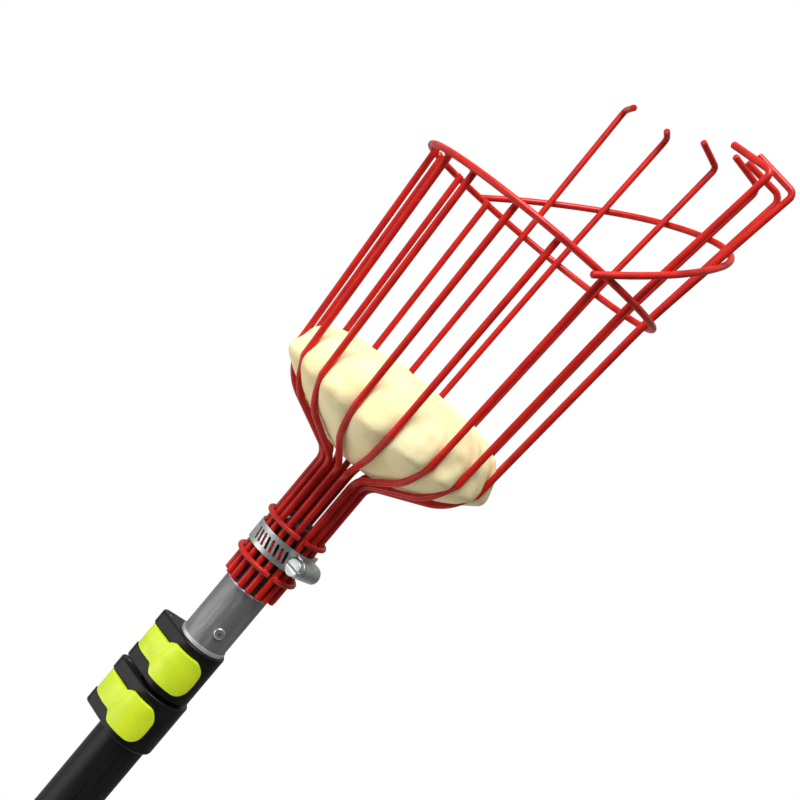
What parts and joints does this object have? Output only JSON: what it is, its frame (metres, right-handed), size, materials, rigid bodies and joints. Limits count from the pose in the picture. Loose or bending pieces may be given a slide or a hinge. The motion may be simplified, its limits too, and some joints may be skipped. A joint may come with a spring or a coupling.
{
  "type": "telescopic fruit picker basket",
  "caption": "Wire fruit-picking basket with hooked tines, guard arch and foam pad, clamped on a telescopic pole with flip-lever locks.",
  "frame": {"origin": "centre of the butt cap's foot, on the pole's axis", "axes": "+Z along the pole towards the basket, +X towards the side of the basket where the middle hooked tine stands, +Y to its left"},
  "size_m": [0.1536, 0.1506, 1.2087],
  "materials": {
    "red_wire": "gloss red powder coat on steel wire",
    "black_tube": "satin black anodised",
    "bare_tube": "satin",
    "ferrule_alloy": "satin grey",
    "zinc_steel": "bright zinc plate",
    "pin_steel": "satin",
    "black_plastic": "satin moulded nylon",
    "glide_plastic": "matte acetal",
    "lever_plastic": "semi-gloss fluorescent yellow-green",
    "black_rubber": "matte",
    "foam": "matte open-cell foam, cream"
  },
  "bodies": {
    "outer_pole": {"outer_tube": "black_tube", "butt_cap": "black_rubber", "hand_grip": "black_rubber", "lower_collar": "black_plastic", "lower_brake_pad": "black_rubber", "lower_hinge_pin": "pin_steel"},
    "middle_pole": {"middle_tube": "black_tube", "middle_glide": "glide_plastic", "upper_collar": "black_plastic", "upper_brake_pad": "black_rubber", "upper_hinge_pin": "pin_steel"},
    "head": {"inner_tube": "bare_tube", "inner_glide": "glide_plastic", "tip_sleeve": "black_rubber", "tip_ferrule": "ferrule_alloy", "pop_rivet": "ferrule_alloy", "cage_wire_1": "red_wire", "cage_wire_2": "red_wire", "cage_wire_3": "red_wire", "cage_wire_4": "red_wire", "cage_wire_5": "red_wire", "cage_wire_6": "red_wire", "cage_wire_7": "red_wire", "cage_wire_8": "red_wire", "cage_wire_9": "red_wire", "tine_1": "red_wire", "tine_2": "red_wire", "tine_3": "red_wire", "tine_4": "red_wire", "tine_5": "red_wire", "tine_6": "red_wire", "tine_7": "red_wire", "rim_hoop": "red_wire", "guard_arch": "red_wire", "lower_neck_hoop": "red_wire", "upper_neck_hoop": "red_wire", "foam_pad": "foam", "clamp_band": "zinc_steel", "clamp_housing": "zinc_steel"},
    "lower_lever": {"lower_lever": "lever_plastic"},
    "upper_lever": {"upper_lever": "lever_plastic"},
    "clamp_screw": {"clamp_screw": "zinc_steel"}
  },
  "joints": [
    {"name": "middle_slide", "type": "slide", "parent": "outer_pole", "child": "middle_pole", "axis": [0, 0, 1], "range_m": [0, 0.6]},
    {"name": "inner_slide", "type": "slide", "parent": "middle_pole", "child": "head", "axis": [0, 0, 1], "range_m": [0, 0.6]},
    {"name": "lower_lever_hinge", "type": "hinge", "parent": "outer_pole", "child": "lower_lever", "pos_m": [-0.01835, 0.01285, 0.7986], "axis": [0, 0, -1], "range_deg": [0, 110]},
    {"name": "upper_lever_hinge", "type": "hinge", "parent": "middle_pole", "child": "upper_lever", "pos_m": [-0.01712, 0.01199, 0.8306], "axis": [0, 0, -1], "range_deg": [0, 110]},
    {"name": "clamp_screw_turn", "type": "hinge", "parent": "head", "child": "clamp_screw", "pos_m": [0.0091, -0.01865, 0.91], "axis": [-0.8988, -0.4384, 0], "continuous": true}
  ]
}
